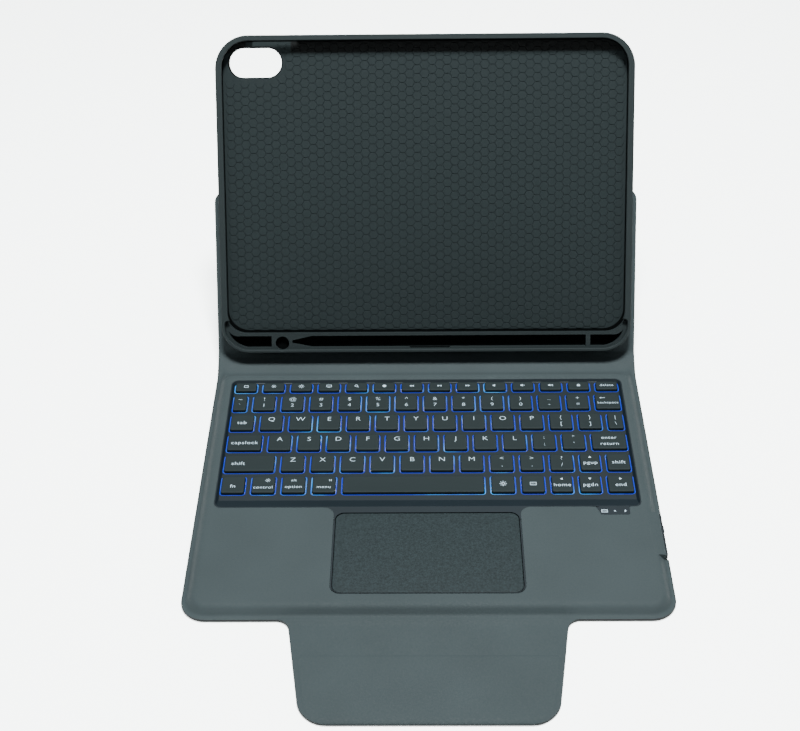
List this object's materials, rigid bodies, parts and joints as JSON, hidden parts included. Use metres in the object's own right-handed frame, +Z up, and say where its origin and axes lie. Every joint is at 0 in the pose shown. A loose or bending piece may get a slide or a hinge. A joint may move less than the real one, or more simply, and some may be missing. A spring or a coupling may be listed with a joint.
{
  "type": "tablet keyboard case",
  "caption": "Folding tablet case with a backlit keyboard and touchpad base, a book spine, an easel back cover with a lipped tablet tray and pen slot, and a magnetic closure flap.",
  "frame": {"origin": "middle of the keyboard base's underside, on the surface it rests on", "axes": "+Z up, +Y from the user towards the raised tablet tray, +X to the user's right"},
  "size_m": [0.26, 0.3746, 0.1809],
  "materials": {
    "cover_fabric": "soft-touch grained polyurethane, grey-green, matt",
    "lining": "smooth microfibre lining, grey-green",
    "board": "stiff fibreboard, uncoated",
    "tray_rubber": "dark grey soft moulded rubber, fine satin texture",
    "housing_plastic": "blue-black fine-textured moulded plastic",
    "key_plastic": "dark grey fine-textured plastic with lit legends",
    "touch_surface": "fine speckled grey-green touch film",
    "light_guide": "edge-lit blue light guide",
    "silicone": "translucent silicone",
    "steel": "plain sheet steel",
    "circuit_board": "solder-masked circuit board",
    "battery_wrap": "battery film",
    "magnet": "nickel-plated magnet",
    "lens": "clear light-pipe plastic",
    "socket_metal": "stainless socket shell"
  },
  "bodies": {
    "base": {"base_outer_cover": "cover_fabric", "base_top_cover": "cover_fabric", "battery_cells": "battery_wrap", "housing_screws": "steel", "key_support_plate": "steel", "light_guide": "light_guide", "lower_housing": "housing_plastic", "main_board": "circuit_board", "membrane_circuit": "silicone", "port_board": "circuit_board", "power_lamp": "lens", "rear_magnets": "magnet", "rubber_domes": "silicone", "scissor_supports": "key_plastic", "status_lenses": "lens", "touchpad_switch": "circuit_board", "upper_housing": "housing_plastic", "usb_c_port": "socket_metal"},
    "spine": {"spine_outer_cover": "cover_fabric", "spine_board": "board", "spine_lining": "lining"},
    "lower_back": {"lower_back_cover": "cover_fabric", "lower_back_board": "board", "lower_back_lining": "lining"},
    "tablet_holder": {"tablet_tray": "tray_rubber", "tray_liner": "tray_rubber", "upper_back_cover": "cover_fabric", "upper_back_board": "board"},
    "flap_root": {"flap_root_cover": "cover_fabric", "flap_root_lining": "lining"},
    "flap_tip": {"flap_tip_cover": "cover_fabric", "flap_tip_lining": "lining", "flap_board": "board", "flap_magnets": "magnet"},
    "touchpad": {"touchpad": "touch_surface", "touchpad_board": "circuit_board"},
    "power_switch": {"power_switch": "housing_plastic"},
    "backlight_key": {"backlight_key": "key_plastic"},
    "backslash_key": {"backslash_key": "key_plastic"},
    "backspace_key": {"backspace_key": "key_plastic"},
    "caps_lock_key": {"caps_lock_key": "key_plastic"},
    "command_key": {"command_key": "key_plastic"},
    "control_key": {"control_key": "key_plastic"},
    "down_arrow_key": {"down_arrow_key": "key_plastic"},
    "enter_key": {"enter_key": "key_plastic"},
    "fn_key": {"fn_key": "key_plastic"},
    "function_keys": {"function_keys": "key_plastic"},
    "home_letter_keys": {"home_letter_keys": "key_plastic"},
    "keyboard_key": {"keyboard_key": "key_plastic"},
    "left_arrow_key": {"left_arrow_key": "key_plastic"},
    "left_shift_key": {"left_shift_key": "key_plastic"},
    "lower_letter_keys": {"lower_letter_keys": "key_plastic"},
    "number_keys": {"number_keys": "key_plastic"},
    "option_key": {"option_key": "key_plastic"},
    "right_arrow_key": {"right_arrow_key": "key_plastic"},
    "right_shift_key": {"right_shift_key": "key_plastic"},
    "space_bar": {"space_bar": "key_plastic"},
    "tab_key": {"tab_key": "key_plastic"},
    "up_arrow_key": {"up_arrow_key": "key_plastic"},
    "upper_letter_keys": {"upper_letter_keys": "key_plastic"}
  },
  "joints": [
    {"name": "spine_fold", "type": "hinge", "parent": "base", "child": "spine", "pos_m": [0, 0.0983, 0.001], "axis": [1, 0, 0], "range_deg": [-29.5, 60.5]},
    {"name": "back_cover_fold", "type": "hinge", "parent": "spine", "child": "lower_back", "pos_m": [0, 0.11292, 0.00927], "axis": [1, 0, 0], "range_deg": [-29.5, 60.5]},
    {"name": "easel_fold", "type": "hinge", "parent": "lower_back", "child": "tablet_holder", "pos_m": [0, 0.16549, 0.09675], "axis": [1, 0, 0], "range_deg": [-62, 0]},
    {"name": "flap_root_fold", "type": "hinge", "parent": "base", "child": "flap_root", "pos_m": [0, -0.0996, 0.001], "axis": [-1, 0, 0], "range_deg": [0, 90]},
    {"name": "flap_tip_fold", "type": "hinge", "parent": "flap_root", "child": "flap_tip", "pos_m": [0, -0.1188, 0.001], "axis": [-1, 0, 0], "range_deg": [0, 90]},
    {"name": "touchpad_click", "type": "hinge", "parent": "base", "child": "touchpad", "pos_m": [0, -0.0241, 0.00525], "axis": [1, 0, 0], "range_deg": [0, 0.4], "stiffness_Nm_per_rad": 12, "springref_deg": -0.57},
    {"name": "power_switch_slide", "type": "slide", "parent": "base", "child": "power_switch", "axis": [0, 1, 0], "range_m": [0, 0.004]},
    {"name": "backlight_press", "type": "slide", "parent": "base", "child": "backlight_key", "axis": [0, 0, -1], "range_m": [0, 0.0012], "stiffness_N_per_m": 300, "springref_m": -0.0006},
    {"name": "backslash_press", "type": "slide", "parent": "base", "child": "backslash_key", "axis": [0, 0, -1], "range_m": [0, 0.0012], "stiffness_N_per_m": 300, "springref_m": -0.0006},
    {"name": "backspace_press", "type": "slide", "parent": "base", "child": "backspace_key", "axis": [0, 0, -1], "range_m": [0, 0.0012], "stiffness_N_per_m": 300, "springref_m": -0.0006},
    {"name": "caps_lock_press", "type": "slide", "parent": "base", "child": "caps_lock_key", "axis": [0, 0, -1], "range_m": [0, 0.0012], "stiffness_N_per_m": 300, "springref_m": -0.0006},
    {"name": "command_press", "type": "slide", "parent": "base", "child": "command_key", "axis": [0, 0, -1], "range_m": [0, 0.0012], "stiffness_N_per_m": 300, "springref_m": -0.0006},
    {"name": "control_press", "type": "slide", "parent": "base", "child": "control_key", "axis": [0, 0, -1], "range_m": [0, 0.0012], "stiffness_N_per_m": 300, "springref_m": -0.0006},
    {"name": "down_arrow_press", "type": "slide", "parent": "base", "child": "down_arrow_key", "axis": [0, 0, -1], "range_m": [0, 0.0012], "stiffness_N_per_m": 300, "springref_m": -0.0006},
    {"name": "enter_press", "type": "slide", "parent": "base", "child": "enter_key", "axis": [0, 0, -1], "range_m": [0, 0.0012], "stiffness_N_per_m": 300, "springref_m": -0.0006},
    {"name": "fn_press", "type": "slide", "parent": "base", "child": "fn_key", "axis": [0, 0, -1], "range_m": [0, 0.0012], "stiffness_N_per_m": 300, "springref_m": -0.0006},
    {"name": "function_row_press", "type": "slide", "parent": "base", "child": "function_keys", "axis": [0, 0, -1], "range_m": [0, 0.0012], "stiffness_N_per_m": 4200, "springref_m": -0.0006},
    {"name": "home_letter_row_press", "type": "slide", "parent": "base", "child": "home_letter_keys", "axis": [0, 0, -1], "range_m": [0, 0.0012], "stiffness_N_per_m": 3300, "springref_m": -0.0006},
    {"name": "keyboard_press", "type": "slide", "parent": "base", "child": "keyboard_key", "axis": [0, 0, -1], "range_m": [0, 0.0012], "stiffness_N_per_m": 300, "springref_m": -0.0006},
    {"name": "left_arrow_press", "type": "slide", "parent": "base", "child": "left_arrow_key", "axis": [0, 0, -1], "range_m": [0, 0.0012], "stiffness_N_per_m": 300, "springref_m": -0.0006},
    {"name": "left_shift_press", "type": "slide", "parent": "base", "child": "left_shift_key", "axis": [0, 0, -1], "range_m": [0, 0.0012], "stiffness_N_per_m": 300, "springref_m": -0.0006},
    {"name": "lower_letter_row_press", "type": "slide", "parent": "base", "child": "lower_letter_keys", "axis": [0, 0, -1], "range_m": [0, 0.0012], "stiffness_N_per_m": 3000, "springref_m": -0.0006},
    {"name": "number_row_press", "type": "slide", "parent": "base", "child": "number_keys", "axis": [0, 0, -1], "range_m": [0, 0.0012], "stiffness_N_per_m": 3900, "springref_m": -0.0006},
    {"name": "option_press", "type": "slide", "parent": "base", "child": "option_key", "axis": [0, 0, -1], "range_m": [0, 0.0012], "stiffness_N_per_m": 300, "springref_m": -0.0006},
    {"name": "right_arrow_press", "type": "slide", "parent": "base", "child": "right_arrow_key", "axis": [0, 0, -1], "range_m": [0, 0.0012], "stiffness_N_per_m": 300, "springref_m": -0.0006},
    {"name": "right_shift_press", "type": "slide", "parent": "base", "child": "right_shift_key", "axis": [0, 0, -1], "range_m": [0, 0.0012], "stiffness_N_per_m": 300, "springref_m": -0.0006},
    {"name": "space_bar_press", "type": "slide", "parent": "base", "child": "space_bar", "axis": [0, 0, -1], "range_m": [0, 0.0012], "stiffness_N_per_m": 300, "springref_m": -0.0006},
    {"name": "tab_press", "type": "slide", "parent": "base", "child": "tab_key", "axis": [0, 0, -1], "range_m": [0, 0.0012], "stiffness_N_per_m": 300, "springref_m": -0.0006},
    {"name": "up_arrow_press", "type": "slide", "parent": "base", "child": "up_arrow_key", "axis": [0, 0, -1], "range_m": [0, 0.0012], "stiffness_N_per_m": 300, "springref_m": -0.0006},
    {"name": "upper_letter_row_press", "type": "slide", "parent": "base", "child": "upper_letter_keys", "axis": [0, 0, -1], "range_m": [0, 0.0012], "stiffness_N_per_m": 3600, "springref_m": -0.0006}
  ]
}
